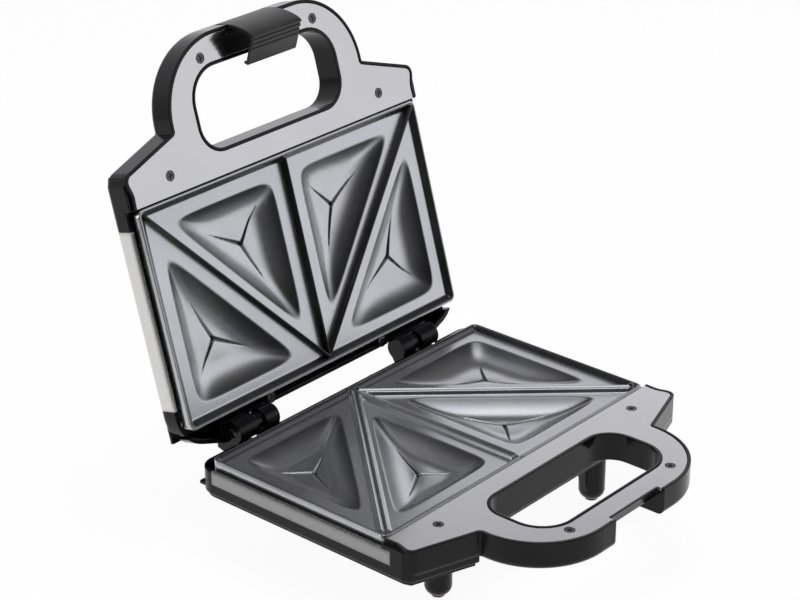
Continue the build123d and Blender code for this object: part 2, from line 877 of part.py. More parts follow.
# ---------------------------------------------------------------- sheet metal
with BuildPart() as lid_cover:
    add(cover_solid(0, wall_top - steel) - cover_solid(steel, wall_top))
    inner = housing_half - trim_lip
    add(
        block(
            lid,
            (-inner, inner),
            (-cover_back + 1, plate_front),
            (0, -wall_top),
        ),
        mode=Mode.SUBTRACT,
    )

save(lid_cover.part, "lid_cover")

with BuildPart() as base_side_trims:
    top = -wall_top + steel
    for side in (-1, 1):
        outside = side * housing_half
        length = (-trim_back, plate_front - trim_front)
        add(block(base, (side * (housing_half - steel), outside), length, (top, top - trim_height)))
        add(
            block(
                base,
                (side * (housing_half - trim_lip), outside),
                (-trim_back, block_back + 0.5),
                (top, -wall_top),
            )
        )

save(base_side_trims.part, "base_side_trims")


def reflector(half):
    """Sheet under the cooking plate that keeps the heat off the housing."""
    x = cavity_half - 0.5
    rear = plate_back - 0.5
    with BuildPart() as sheet:
        add(
            block(
                half,
                (-x, x),
                (block_back + 0.5, rear),
                (-boss_depth, -boss_depth - reflector_thickness),
            )
        )
        add(posts(half, plate_boss_places(), 0, lid_depth, clear_hole), mode=Mode.SUBTRACT)
        if half is base:
            add(
                posts(base, [(0, -thermostat_ahead)], 0, lid_depth, thermostat_diameter + 4),
                mode=Mode.SUBTRACT,
            )
            add(gland_room(), mode=Mode.SUBTRACT)
    return sheet.part


def gland_room():
    """Way for the supply lead from the gland down into the bottom cover."""
    return block(
        base,
        (gland_x - gland_diameter, gland_x + gland_diameter),
        (-base_back - wall, -base_back - wall - 24),
        (-wall_top, -body_depth),
    )


save(reflector(base), "base_reflector")
save(reflector(lid), "lid_reflector")


# ---------------------------------------------------------------- heating
def heating_element(half):
    """Tubular element round the plate's underside, its cold pins meeting at the rear."""
    x = plate_half - element_inset
    y0 = plate_back - element_back_inset
    y1 = plate_front + element_inset
    with BuildPart() as element:
        with BuildLine(depth(half, -element_z)) as path:
            FilletPolyline(
                (element_end, y0), (x, y0), (x, y1), (-x, y1), (-x, y0), (-element_end, y0),
                radius=element_corner,
            )
        with BuildSketch(across(half, element_end, y0, -element_z, (1, 0, 0))):
            Circle(element_diameter / 2)
        sweep(path=path.line)
        for side in (-1, 1):
            with BuildSketch(across(half, side * element_end, y0, -element_z, (-side, 0, 0))):
                Circle(terminal_pin / 2)
            extrude(amount=terminal_length)
    return element.part


def element_clips(half):
    """Straps that hold the element against the plate."""
    arch_half = element_diameter / 2 + 0.1
    low = -element_z - element_diameter / 2 - 0.1
    x = plate_half - element_inset
    y = plate_front + element_inset
    sides = [
        (side * x, place)
        for side in (-1, 1)
        for place in (plate_back - clip_reach, plate_front + clip_reach)
    ]
    fronts = [(side * (plate_half - clip_reach), y) for side in (-1, 1)]
    with BuildPart() as clips:
        for places, along_x in ((sides, False), (fronts, True)):
            for cx, cy in places:
                reach = arch_half + clip_thickness
                for grow, mode in ((reach, Mode.ADD), (arch_half, Mode.SUBTRACT)):
                    bottom = low - (clip_thickness if mode == Mode.ADD else 0)
                    long = clip_width / 2 + (0 if mode == Mode.ADD else 1)
                    dx, dy = (long, grow) if along_x else (grow, long)
                    add(
                        block(
                            half,
                            (cx - dx, cx + dx),
                            (cy - dy, cy + dy),
                            (-land - skin, bottom) if mode == Mode.ADD else (0, bottom),
                        ),
                        mode=mode,
                    )
    return clips.part


for half, name in ((base, "base"), (lid, "lid")):
    save(heating_element(half), f"{name}_heating_element")
    save(element_clips(half), f"{name}_element_clips")

plate_seat = boss_depth + reflector_thickness + shelf_thickness
save(screws(base, plate_boss_places(), -plate_seat, plate_screw_length, 1), "base_plate_screws")
save(screws(lid, plate_boss_places(), -lid_seat, plate_screw_length, 1), "lid_plate_screws")
save(screws(lid, rear_screw_places, -rear_seat, rear_screw_length), "lid_rear_screws")

# ---------------------------------------------------------------- bottom cover and feet
foot_places = [
    (-front_foot_half, plate_front + front_foot_ahead),
    (front_foot_half, plate_front + front_foot_ahead),
    (-rear_foot_half, -rear_foot_back),
    (rear_foot_half, -rear_foot_back),
]
foot_end = ground_to_parting - pad_proud


def belly(inset, top, bottom, corner):
    """Sunken middle of the bottom cover."""
    rear = -base_back - belly_inset
    front = body_front + belly_inset
    with BuildPart() as hollow:
        for z, step in ((top, 0), (bottom, belly_slope)):
            with BuildSketch(depth(base, -z)):
                with Locations((0, (rear + front) / 2)):
                    RectangleRounded(
                        2 * (housing_half - belly_inset - step - inset),
                        rear - front - 2 * (step + inset),
                        corner - step / 2,
                    )
        loft(ruled=True)
    return hollow.part


def fin(x, y):
    """A tapered fin on the inner side of a foot."""
    inward = 1 if x > 0 else -1
    outer = abs(x) - foot_diameter / 2
    with BuildPart() as web_plate:
        with BuildSketch(across(base, 0, y - fin_thickness / 2, 0, (0, 1, 0))):
            # this plane's x runs against the base's x
            with BuildLine():
                Line((-x, -cover_seat), (-inward * (outer - fin_reach), -cover_seat))
                ThreePointArc(
                    (-inward * (outer - fin_reach), -cover_seat),
                    (-inward * (outer - fin_reach * 0.4), -(cover_seat + fin_end) / 2),
                    (-inward * (outer + 0.5), -fin_end),
                )
                Polyline((-inward * (outer + 0.5), -fin_end), (-x, -fin_end), (-x, -cover_seat))
            make_face()
        extrude(amount=fin_thickness)
    return web_plate.part


with BuildPart() as bottom_cover:
    with BuildSketch(depth(base, -body_depth)):
        offset(base_outline.sketch, amount=-cover_inset, kind=Kind.INTERSECTION)
    extrude(amount=-cover_thickness)
    add(belly(0, cover_seat - 0.01, cover_seat + belly_depth, belly_corner))
    for x, y in foot_places:
        with BuildPart(mode=Mode.PRIVATE) as foot_post:
            add(posts(base, [(x, y)], cover_seat - 1, foot_end, foot_diameter))
            fillet(foot_post.edges().sort_by(Axis.Z)[:1], foot_round)
        add(foot_post.part)
        add(fin(x, y))
        pad_seat = foot_end - pad_height + pad_proud
        add(posts(base, [(x, y)], pad_seat, foot_end, pad_diameter + 0.1), mode=Mode.SUBTRACT)
    inner_floor = cover_seat + belly_depth - cover_thickness
    add(
        belly(cover_thickness, body_depth - 0.01, inner_floor, belly_corner - cover_thickness),
        mode=Mode.SUBTRACT,
    )
    add(
        posts(base, cover_screw_places(), body_depth - 1, cover_seat + 1, screw_hole),
        mode=Mode.SUBTRACT,
    )

save(bottom_cover.part, "bottom_cover")
save(
    screws(base, cover_screw_places(), -cover_seat, cover_screw_length, 1), "bottom_cover_screws"
)

with BuildPart() as foot_pads:
    add(posts(base, foot_places, ground_to_parting - pad_height, ground_to_parting, pad_diameter))
    fillet(foot_pads.edges().group_by(Axis.Z)[0], 0.5)

save(foot_pads.part, "foot_pads")

# ---------------------------------------------------------------- hinge pins and latch
with BuildPart() as hinge_pins:
    add(knuckle(base, pin_inner, pin_outer, hinge_pin_diameter / 2))

save(hinge_pins.part, "hinge_pins")

with BuildPart() as latch:
    with BuildSketch(across(lid, -latch_half, pivot_y, -pivot_depth, (1, 0, 0))):
        Circle(barrel_radius)
        with BuildLine():
            ThreePointArc((-barrel_radius, 0), (-1.4, 17.0), (4.6, 28.9))
            Polyline(
                (4.6, 28.9), (5.8, 29.9), (22.3, 19.5), (20.6, 16.8), (19.3, 17.6), (20.0, 18.6),
                (6.2, 27.1),
            )
            ThreePointArc((6.2, 27.1), (0.7, 16.3), (-1.1, 1.5))
            Line((-1.1, 1.5), (-barrel_radius, 0))
        make_face()
        Circle(pin_diameter / 2 + pin_running, mode=Mode.SUBTRACT)
    extrude(amount=2 * latch_half)

save(latch.part, "latch")
save(latch_bar(latch_half + cheek - 0.2, pin_diameter / 2), "latch_pin")

# ---------------------------------------------------------------- electrics
with BuildPart() as thermostat:
    top = land + skin + 0.05
    add(posts(base, [(0, -thermostat_ahead)], top, top + 6.5, thermostat_diameter))
    for x in (-4.5, 4.5):
        add(
            block(
                base,
                (x - 0.4, x + 0.4),
                (-thermostat_ahead - 3, -thermostat_ahead + 3),
                (-top - 6, -top - 14),
            )
        )

save(thermostat.part, "thermostat")

with BuildPart() as thermal_fuse:
    fuse_z = land + skin + fuse_diameter / 2 + 0.05
    with BuildSketch(across(base, 0, -fuse_ahead, -fuse_z, (0, -1, 0))):
        Circle(fuse_diameter / 2)
    extrude(amount=fuse_length)

save(thermal_fuse.part, "thermal_fuse")

with BuildPart() as terminal_block:
    floor_z = cover_seat + belly_depth - cover_thickness
    middle = -block_ahead - block_length / 2
    add(
        block(
            base,
            (-block_width / 2, block_width / 2),
            (-block_ahead, -block_ahead - block_length),
            (-floor_z + block_height, -floor_z),
        )
    )
    for x in (-10, 0, 10):
        add(
            posts(base, [(x, middle)], floor_z - block_height - 1, floor_z - 4, 4.2),
            mode=Mode.SUBTRACT,
        )

save(terminal_block.part, "terminal_block")

with BuildPart() as cord_gland:
    with BuildSketch(across(base, gland_x, -base_back, -gland_depth, (0, 1, 0))):
        Circle(gland_flange / 2)
        Circle(gland_bore / 2, mode=Mode.SUBTRACT)
    extrude(amount=gland_flange_thickness)
    with BuildSketch(across(base, gland_x, -base_back, -gland_depth, (0, 1, 0))):
        Circle(gland_diameter / 2)
        Circle(gland_bore / 2, mode=Mode.SUBTRACT)
    extrude(amount=-wall - 1.5)

save(cord_gland.part, "cord_gland")


def lens(place):
    with BuildPart() as cap:
        outside = lid_depth + lens_proud
        add(posts(lid, [place], outside - lens_length, outside, lens_diameter))
        fillet(cap.edges().sort_by(inner_axis(lid))[:1], lens_proud)
    return cap.part


save(lens(lens_places[0]), "power_lens")
save(lens(lens_places[1]), "ready_lens")

with BuildPart() as indicator_lamps:
    lamp_z = lid_depth + lens_proud - lens_length - lamp_diameter / 2 - 0.1
    for x, y in lens_places:
        with BuildSketch(across(lid, x - lamp_length / 2, y, -lamp_z, (1, 0, 0))):
            Circle(lamp_diameter / 2)
        extrude(amount=lamp_length)

save(indicator_lamps.part, "indicator_lamps")
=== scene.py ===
import json
from math import cos, hypot, pi, radians, sin, sqrt

import bmesh
import bpy
import numpy as np
from mathutils import Matrix, Vector


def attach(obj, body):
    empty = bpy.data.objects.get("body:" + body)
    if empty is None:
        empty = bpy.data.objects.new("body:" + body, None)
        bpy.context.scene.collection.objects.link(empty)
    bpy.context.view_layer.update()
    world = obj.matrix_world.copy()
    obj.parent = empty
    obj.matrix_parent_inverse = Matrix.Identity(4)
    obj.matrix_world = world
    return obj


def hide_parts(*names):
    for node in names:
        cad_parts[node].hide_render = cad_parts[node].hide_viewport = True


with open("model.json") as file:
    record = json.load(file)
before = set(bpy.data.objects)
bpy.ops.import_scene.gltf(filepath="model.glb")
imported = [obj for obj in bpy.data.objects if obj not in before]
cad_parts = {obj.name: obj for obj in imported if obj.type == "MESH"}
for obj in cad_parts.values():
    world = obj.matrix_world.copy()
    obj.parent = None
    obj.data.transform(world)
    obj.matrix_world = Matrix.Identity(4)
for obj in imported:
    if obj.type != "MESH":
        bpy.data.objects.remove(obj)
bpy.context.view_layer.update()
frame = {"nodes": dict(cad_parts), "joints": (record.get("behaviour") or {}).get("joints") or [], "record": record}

MM = 0.001

# ---------------------------------------------------------------- the two halves' own axes
# x along the hinge, y away from the handles, z along the inner normal; millimetres
joints = {joint["name"]: joint for joint in frame["joints"]}
hinge = Vector(joints["lid_hinge"]["pos_m"])
swing = radians(joints["lid_hinge"]["range_deg"][1])
LID_TURN = Matrix((
    (-1, 0, 0),
    (0, cos(swing), -sin(swing)),
    (0, -sin(swing), -cos(swing)),
))
PLACE = {
    "base": Matrix.Translation(hinge) @ Matrix.Scale(MM, 4),
    "lid": Matrix.Translation(hinge) @ LID_TURN.to_4x4() @ Matrix.Scale(MM, 4),
}

# ---------------------------------------------------------------- sizes, millimetres
half_gap = 0.3
plate_width = 236.0
plate_depth = 131.8
plate_back = -11.7
plate_front = plate_back - plate_depth
plate_half = plate_width / 2
plate_corner = 4.5
rim_height = 3.3
rim_land = 1.2
rim_slope = 4.3
rim_round = 0.6
land = half_gap + rim_height
plate_skirt = 6.8
under_inset = 11.0
under_draft = 0.5
under_depth = 14.3
pocket_depth = 8.2
pocket_wall = 19.0
pocket_blend = 4.0
lip_share = 0.07
shade_reach = 0.55
pocket_diagonal_gap = 8.0
pocket_centre_gap = 11.0
pocket_side_gap = 12.5
pocket_back_gap = 10.3
pocket_front_gap = 12.5
crease_length = 31.0
crease_width = 1.4
crease_depth = 1.3
floor_crown = 0.8
rib_end_inset = 4.0
ridge_height = 2.7
ridge_base = 4.0
ridge_crest = 2.2
groove_depth = 1.2
blade_height = 4.3
blade_base = 1.2
blade_tip = 0.6
grid_step = 0.5

# ---------------------------------------------------------------- materials
def material(name):
    """A new node material and its Principled shader."""
    made = bpy.data.materials.new(name)
    made.use_nodes = True
    return made, made.node_tree.nodes["Principled BSDF"]


def node(made, kind, **settings):
    """A node of a material with its inputs or properties set."""
    item = made.node_tree.nodes.new(kind)
    for key, value in settings.items():
        if key in item.inputs:
            item.inputs[key].default_value = value
        else:
            setattr(item, key, value)
    return item


def link(made, source, target):
    made.node_tree.links.new(source, target)


def object_place(made, stretch=(1, 1, 1)):
    """The point on the object, so that patterns stay with it."""
    place = node(made, "ShaderNodeTexCoord")
    mapping = node(made, "ShaderNodeMapping", Scale=stretch)
    link(made, place.outputs["Object"], mapping.inputs["Vector"])
    return mapping.outputs["Vector"]


def noise(made, place, scale, detail=3.0, rough=0.55):
    texture = node(made, "ShaderNodeTexNoise", Scale=scale, Detail=detail, Roughness=rough)
    link(made, place, texture.inputs["Vector"])
    return texture.outputs["Fac"]


def ramp(made, source, low, high, start=0.3, end=0.7):
    """Two colours or grey values spread over a noise."""
    item = node(made, "ShaderNodeValToRGB")
    item.color_ramp.elements[0].position = start
    item.color_ramp.elements[1].position = end
    item.color_ramp.elements[0].color = colour(low)
    item.color_ramp.elements[1].color = colour(high)
    link(made, source, item.inputs["Fac"])
    return item.outputs["Color"]


def colour(value):
    if isinstance(value, (int, float)):
        return (value, value, value, 1)
    return (*value, 1)


def bump(made, shader, height, strength, distance, soft_edge=0.0):
    """Bump from a height, over edges rounded by soft_edge metres."""
    item = node(made, "ShaderNodeBump", Strength=strength, Distance=distance)
    link(made, height, item.inputs["Height"])
    if soft_edge:
        edge = node(made, "ShaderNodeBevel", Radius=soft_edge)
        edge.samples = 6
        link(made, edge.outputs["Normal"], item.inputs["Normal"])
    link(made, item.outputs["Normal"], shader.inputs["Normal"])


def plastic(name, dark, light, rough_low, rough_high, grain, edge=0.0005, shine=0.5):
    """Moulded plastic: faint mottling, uneven gloss, fine spark-eroded grain, soft edges."""
    made, shader = material(name)
    place = object_place(made)
    tone = ramp(made, noise(made, place, 60, 5), dark, light)
    gloss = ramp(made, noise(made, place, 35, 4), rough_low, rough_high)
    link(made, tone, shader.inputs["Base Color"])
    link(made, gloss, shader.inputs["Roughness"])
    bump(made, shader, noise(made, place, 2600, 2), grain, 0.00006, edge)
    shader.inputs["Specular IOR Level"].default_value = shine
    return made


def coated_casting(name, dark, light, rough_low, rough_high):
    """Non-stick coating on a casting: metal flake under a satin film, with painted shade where the plates hold
    shade.
    """
    made, shader = material(name)
    place = object_place(made)
    flake = noise(made, place, 1500, 3)
    cloud = noise(made, place, 18, 3)
    mixed = node(made, "ShaderNodeMath", operation="MULTIPLY_ADD")
    link(made, flake, mixed.inputs[0])
    mixed.inputs[1].default_value = 0.45
    link(made, cloud, mixed.inputs[2])
    # painted shade: the coat is coloured darker where the plates hold shade (pockets' steep sides, creases, rim's
    # inner slope, base's ridges); the amount is stored on the plates as a point attribute
    painted_shade = node(made, "ShaderNodeAttribute", attribute_name="painted_shade")
    tone = node(made, "ShaderNodeMix", data_type="RGBA")
    link(made, painted_shade.outputs["Fac"], tone.inputs["Factor"])
    link(made, ramp(made, mixed.outputs[0], dark, light, 0.5, 0.95), tone.inputs["A"])
    # painted shade: the near-black tone used where the plates hold shade
    painted_shade_tone = [v * 0.26 for v in dark]
    link(made, ramp(made, cloud, painted_shade_tone, [v * 1.25 for v in painted_shade_tone]), tone.inputs["B"])
    link(made, tone.outputs["Result"], shader.inputs["Base Color"])
    link(made, ramp(made, cloud, rough_low, rough_high), shader.inputs["Roughness"])
    bump(made, shader, flake, 0.12, 0.00005)
    shader.inputs["Metallic"].default_value = 0.92
    return made


def polished_sheet(name, tint, rough_low, rough_high):
    """Bright rolled sheet: very fine lines, faint clouds in the gloss."""
    made, shader = material(name)
    place = object_place(made)
    fine = noise(made, object_place(made, (30, 900, 900)), 1.0, 4)
    tone = ramp(made, noise(made, place, 12, 2), tint, [min(1, v * 1.06) for v in tint])
    link(made, tone, shader.inputs["Base Color"])
    link(made, ramp(made, fine, rough_low, rough_high), shader.inputs["Roughness"])
    bump(made, shader, fine, 0.03, 0.00002, 0.0003)
    shader.inputs["Metallic"].default_value = 1.0
    return made


def brushed_sheet(name, tint, stretch, rough_low, rough_high, soft=0.0003):
    """Brushed steel: long fine scratches one way."""
    made, shader = material(name)
    lines = noise(made, object_place(made, stretch), 1.0, 5, 0.6)
    link(made, ramp(made, lines, [v * 0.86 for v in tint], tint), shader.inputs["Base Color"])
    link(made, ramp(made, lines, rough_low, rough_high), shader.inputs["Roughness"])
    bump(made, shader, lines, 0.04, 0.00002, soft)
    shader.inputs["Metallic"].default_value = 1.0
    return made


def tinted_lens(name, tint):
    made, shader = material(name)
    place = object_place(made)
    tone = ramp(made, noise(made, place, 300, 2), tint, [v * 0.8 for v in tint])
    link(made, tone, shader.inputs["Base Color"])
    link(made, ramp(made, noise(made, place, 90, 2), 0.08, 0.16), shader.inputs["Roughness"])
    shader.inputs["Transmission Weight"].default_value = 0.35
    shader.inputs["Coat Weight"].default_value = 0.5
    return made


# plastics: dark, light, lowest and highest roughness, grain, then edge and shine
# castings: dark, light, lowest and highest roughness
# sheets: tint, stretch of the scratches, lowest and highest roughness, then soft edge
FINISHES = {
    "housing_plastic": (
        plastic, (0.003, 0.003, 0.0035), (0.006, 0.006, 0.007), 0.12, 0.18, 0.06, 0.0009, 0.20
    ),
    "latch_plastic": (
        plastic, (0.016, 0.015, 0.015), (0.026, 0.025, 0.024), 0.38, 0.5, 0.35, 0.0003
    ),
    "pad_rubber": (plastic, (0.012, 0.012, 0.012), (0.02, 0.02, 0.02), 0.6, 0.75, 0.5, 0.0003),
    "control_body": (plastic, (0.05, 0.04, 0.035), (0.08, 0.07, 0.06), 0.45, 0.6, 0.4),
    "terminal_body": (plastic, (0.55, 0.54, 0.5), (0.65, 0.64, 0.6), 0.4, 0.5, 0.3),
    "plate_casting": (coated_casting, (0.50, 0.503, 0.525), (0.60, 0.603, 0.625), 0.25, 0.29),
    # painted shade: the lid's blades are the same coated casting, coloured near black where they hold shade
    "blade_painted_shade": (plastic, (0.008, 0.008, 0.009), (0.014, 0.014, 0.015), 0.28, 0.38, 0.12),
    "panel_metal": (polished_sheet, (0.54, 0.54, 0.555), 0.10, 0.17),
    "cover_steel": (brushed_sheet, (0.70, 0.69, 0.67), (9, 1500, 1500), 0.26, 0.32, 0.0035),
    # painted shade: the base's side trims are the same steel as the lid's cover, tinted darker
    "trim_steel_painted_shade": (brushed_sheet, (0.30, 0.30, 0.30), (9, 1500, 1500), 0.24, 0.30, 0.0035),
    "element_sheath": (brushed_sheet, (0.16, 0.15, 0.13), (200, 200, 200), 0.4, 0.6),
    "strap_steel": (brushed_sheet, (0.5, 0.5, 0.5), (300, 300, 900), 0.3, 0.45),
    "reflector_sheet": (brushed_sheet, (0.75, 0.75, 0.75), (30, 800, 800), 0.25, 0.35),
    "screw_steel": (brushed_sheet, (0.10, 0.10, 0.105), (900, 900, 900), 0.12, 0.22),
    "pin_steel": (brushed_sheet, (0.5, 0.5, 0.51), (900, 60, 60), 0.18, 0.3),
    "lens_red": (tinted_lens, (0.45, 0.01, 0.01)),
    "lens_green": (tinted_lens, (0.01, 0.35, 0.06)),
    "lamp_glass": (tinted_lens, (0.6, 0.55, 0.5)),
}
MATERIALS = {name: make(name, *values) for name, (make, *values) in FINISHES.items()}


def paint(piece, slot):
    piece.data.materials.clear()
    piece.data.materials.append(MATERIALS[slot])


for subpart in frame["record"]["subparts"]:
    paint(frame["nodes"][subpart["node"]], subpart["material_slot"])
# painted shade: the base's side trims get the darker copy of the cover steel
paint(frame["nodes"]["base_side_trims"], "trim_steel_painted_shade")


# ---------------------------------------------------------------- mesh helpers
def mesh_piece(name, half, vertices, faces, slot, body):
    """A mesh piece from points in a half's own axes."""
    data = bpy.data.meshes.new(name)
    data.from_pydata(vertices, [], faces)
    data.transform(PLACE[half])
    data.update()
    piece = bpy.data.objects.new(name, data)
    bpy.context.scene.collection.objects.link(piece)
    data.shade_smooth()
    paint(piece, slot)
    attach(piece, body)
    return piece


# ---------------------------------------------------------------- cooking plates
def rounded_box_distance(x, y, half_x, half_y, corner):
    """How far inside a rounded rectangle's edge each point lies."""
    qx = np.abs(x) - half_x + corner
    qy = np.abs(y) - half_y + corner
    outside = np.hypot(np.maximum(qx, 0), np.maximum(qy, 0)) + np.minimum(np.maximum(qx, qy), 0)
    return corner - outside


def triangle_distance(x, y, corners):
    """How far inside a triangle's edge each point lies, its corners blended smoothly."""
    centre = np.mean(corners, axis=0)
    total = 0
    for start, end in zip(corners, corners[1:] + corners[:1]):
        along = np.subtract(end, start)
        normal = np.array((-along[1], along[0])) / hypot(*along)
        if np.dot(np.subtract(centre, start), normal) < 0:
            normal = -normal
        inward = (x - start[0]) * normal[0] + (y - start[1]) * normal[1]
        total = total + np.exp(-inward / pocket_blend)
    return -pocket_blend * np.log(total)


def pocket_triangle(outer, side):
    """Plan corners of a triangular pocket."""
    rise = plate_depth / plate_half
    reach = pocket_diagonal_gap * sqrt(1 + rise**2) / rise
    if outer:
        x, y = plate_half - pocket_side_gap, plate_back - pocket_back_gap
        inner_x, front_y = (plate_back - y) / rise + reach, plate_back - (x - reach) * rise
        corners = [(x, y), (inner_x, y), (x, front_y)]
    else:
        x, y = pocket_centre_gap, plate_front + pocket_front_gap
        outer_x, back_y = (plate_back - y) / rise - reach, plate_back - (x + reach) * rise
        corners = [(x, y), (x, back_y), (outer_x, y)]
    return [(side * px, py) for px, py in corners]


def ease(t):
    """Smooth step from 0 to 1."""
    t = np.clip(t, 0, 1)
    return t * t * (3 - 2 * t)


def wall_curve(t):
    """Depth across a pocket's side: short round lip, straight flank, long soft foot."""
    t = np.clip(t, 0, 1)
    lip, foot = lip_share, 0.75
    slope = 1 / (1 - lip / 2 - foot / 2)
    start = slope * t**2 / (2 * lip)
    flank = slope * (t - lip / 2)
    end = 1 - slope * (1 - t) ** 2 / (2 * foot)
    return np.where(t < lip, start, np.where(t < 1 - foot, flank, end))


def crease(x, y, start, end, width, deep):
    """A groove that tapers from start to nothing at end."""
    along = np.subtract(end, start)
    share = ((x - start[0]) * along[0] + (y - start[1]) * along[1]) / np.dot(along, along)
    clipped = np.clip(share, 0, 1)
    gap = np.hypot(x - start[0] - clipped * along[0], y - start[1] - clipped * along[1])
    reach = width * (1 - clipped)
    return deep * (1 - clipped) ** 0.6 * np.clip(1 - gap / np.maximum(reach, 1e-6), 0, 1)


def plate_height(x, y, ridged):
    """Height of the cooking face over the parting plane."""
    middle = (plate_back + plate_front) / 2
    inward = rounded_box_distance(x, y - middle, plate_half, plate_depth / 2, plate_corner)
    z = -half_gap - rim_height * ease((inward - rim_land) / rim_slope)
    z = z - 0.35 * (1 - np.clip(inward / rim_round, 0, 1)) ** 2
    for outer in (True, False):
        for side in (-1, 1):
            corners = pocket_triangle(outer, side)
            deep = triangle_distance(x, y, corners)
            z = z - pocket_depth * wall_curve(deep / pocket_wall)
            z = z + floor_crown * ease((deep - pocket_wall * 0.5) / pocket_wall)
            for line in crease_lines(corners):
                z = z - crease(x, y, *line, crease_width, crease_depth)
    return z + ridges(x, y) if ridged else z


def painted_shade_amount(x, y, ridged):
    """How much painted shade the coat gets: 1 just inside a pocket's mouth, 0 on its floor,
    and 1 in the creases and on the rim's inner slope, partly along the base's ridges."""
    middle = (plate_back + plate_front) / 2
    inward = rounded_box_distance(x, y - middle, plate_half, plate_depth / 2, plate_corner)
    total = np.clip((inward - 0.8) / 0.4, 0, 1) * np.clip((5.3 - inward) / 0.7, 0, 1)
    for outer in (True, False):
        for side in (-1, 1):
            corners = pocket_triangle(outer, side)
            share = triangle_distance(x, y, corners) / pocket_wall
            total = total + np.clip(share / lip_share, 0, 1) * (1 - ease(share / shade_reach))
            for line in crease_lines(corners):
                total = total + 3.0 * crease(x, y, *line, crease_width, 1.0)
    # painted shade along the base's ridges, partly
    for start, end in rib_lines() if ridged else ():
        total = total + 0.8 * np.clip(1.3 - rib_gap(x, y, start, end)[1], 0, 1)
    return np.clip(total, 0, 1)


def crease_lines(corners):
    """The three grooves of a pocket's floor, from its middle towards its corners."""
    centre = np.mean(corners, axis=0)
    reach = [np.subtract(corner, centre) for corner in corners]
    return [(centre, centre + away * min(crease_length / hypot(*away), 0.62)) for away in reach]


def rib_lines():
    back = (0, plate_back - rib_end_inset)
    front = plate_front + rib_end_inset
    side = plate_half - rib_end_inset
    return [(back, (0, front)), (back, (-side, front)), (back, (side, front))]


def rib_gap(x, y, start, end):
    """How far along a rib each point lies, and how far beside it."""
    along = np.subtract(end, start)
    length = hypot(*along)
    share = ((x - start[0]) * along[0] + (y - start[1]) * along[1]) / length
    return share, np.abs((x - start[0]) * along[1] - (y - start[1]) * along[0]) / length


def ridges(x, y):
    """Grooved ridges between the pockets: each has two crests with a valley between them."""
    flanks, valleys = 0, 0
    for start, end in rib_lines():
        length = hypot(*np.subtract(end, start))
        share, gap = rib_gap(x, y, start, end)
        ends = ease(share / 1.5) * ease((length - share) / 1.5)
        flank = ends * ease((ridge_base - gap) / (ridge_base - ridge_crest + 0.4))
        valley = ends * np.clip(1 - gap / (ridge_crest - 0.5), 0, 1)
        flanks, valleys = np.maximum(flanks, flank), np.maximum(valleys, valley)
    return ridge_height * flanks - groove_depth * valleys


def grid_axis(low, high, fine):
    """Places along one side: close together on the rim, even in between."""
    edge = [0, 0.15, 0.35, 0.6, 0.9, 1.2]
    count = int(round((high - low - 2 * edge[-1]) / fine))
    inner = np.linspace(low + edge[-1], high - edge[-1], count + 1)
    return np.concatenate(([low + e for e in edge[:-1]], inner, [high - e for e in edge[-2::-1]]))


def rounded_corner(x, y, half_x, low, high, corner):
    """Moves the grid's corner points onto the plate's round corners."""
    middle, half_y = (low + high) / 2, (high - low) / 2
    inner_x, inner_y = half_x - corner, half_y - corner
    over_x = np.maximum(np.abs(x) - inner_x, 0)
    over_y = np.maximum(np.abs(y - middle) - inner_y, 0)
    both = (over_x > 0) & (over_y > 0)
    length = np.hypot(over_x, over_y)
    square = np.maximum(over_x, over_y)
    scale = np.where(both & (length > 0), square / np.maximum(length, 1e-9), 1)
    kept_x = np.minimum(np.abs(x), inner_x)
    kept_y = np.minimum(np.abs(y - middle), inner_y)
    new_x = np.sign(x) * (kept_x + over_x * scale)
    new_y = middle + np.sign(y - middle) * (kept_y + over_y * scale)
    return new_x, new_y


def cooking_plate(half):
    """Cooking plate: dense face with rim, pockets and ridges, then skirt and underside."""
    ridged = half == "base"
    xs = grid_axis(-plate_half, plate_half, grid_step)
    ys = grid_axis(plate_front, plate_back, grid_step)
    gx, gy = np.meshgrid(xs, ys)
    px, py = rounded_corner(gx, gy, plate_half, plate_front, plate_back, plate_corner)
    pz = plate_height(px, py, ridged)
    rows, columns = gx.shape
    vertices = list(zip(px.ravel().tolist(), py.ravel().tolist(), pz.ravel().tolist()))
    faces = [
        (r * columns + c, r * columns + c + 1, (r + 1) * columns + c + 1, (r + 1) * columns + c)
        for r in range(rows - 1)
        for c in range(columns - 1)
    ]
    border = (
        [c for c in range(columns)]
        + [r * columns + columns - 1 for r in range(1, rows)]
        + [(rows - 1) * columns + c for c in range(columns - 2, -1, -1)]
        + [r * columns for r in range(rows - 2, 0, -1)]
    )
    middle, half_depth = (plate_back + plate_front) / 2, plate_depth / 2
    count = len(border)
    above = border
    rings = [(0, plate_skirt), (under_inset, plate_skirt), (under_inset + under_draft, under_depth)]
    for inset, drop in rings:
        ring = list(range(len(vertices), len(vertices) + count))
        for index in border:
            x, y, _ = vertices[index]
            narrowed = middle + (y - middle) * (half_depth - inset) / half_depth
            vertices.append((x * (plate_half - inset) / plate_half, narrowed, -drop))
        for k in range(count):
            following = (k + 1) % count
            faces.append((above[following], above[k], ring[k], ring[following]))
        above = ring
    faces.append(tuple(reversed(above)))
    plate_faces = len(faces)
    if not ridged:
        for start, end in rib_lines():
            blade(vertices, faces, start, end)
    piece = mesh_piece(f"{half}_plate_face", half, vertices, faces, "plate_casting", half)
    # painted shade: the lid's blades get the near-black material
    piece.data.materials.append(MATERIALS["blade_painted_shade"])
    # painted shade: how dark the coat is painted at each point, read by the plate material
    shade = piece.data.attributes.new("painted_shade", "FLOAT", "POINT")
    values = np.zeros(len(vertices))
    values[: px.size] = painted_shade_amount(px.ravel(), py.ravel(), ridged)
    shade.data.foreach_set("value", values)
    for polygon in piece.data.polygons[plate_faces:]:
        polygon.material_index = 1
    mark_sharp(piece, 50)
    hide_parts(f"{half}_cooking_plate")


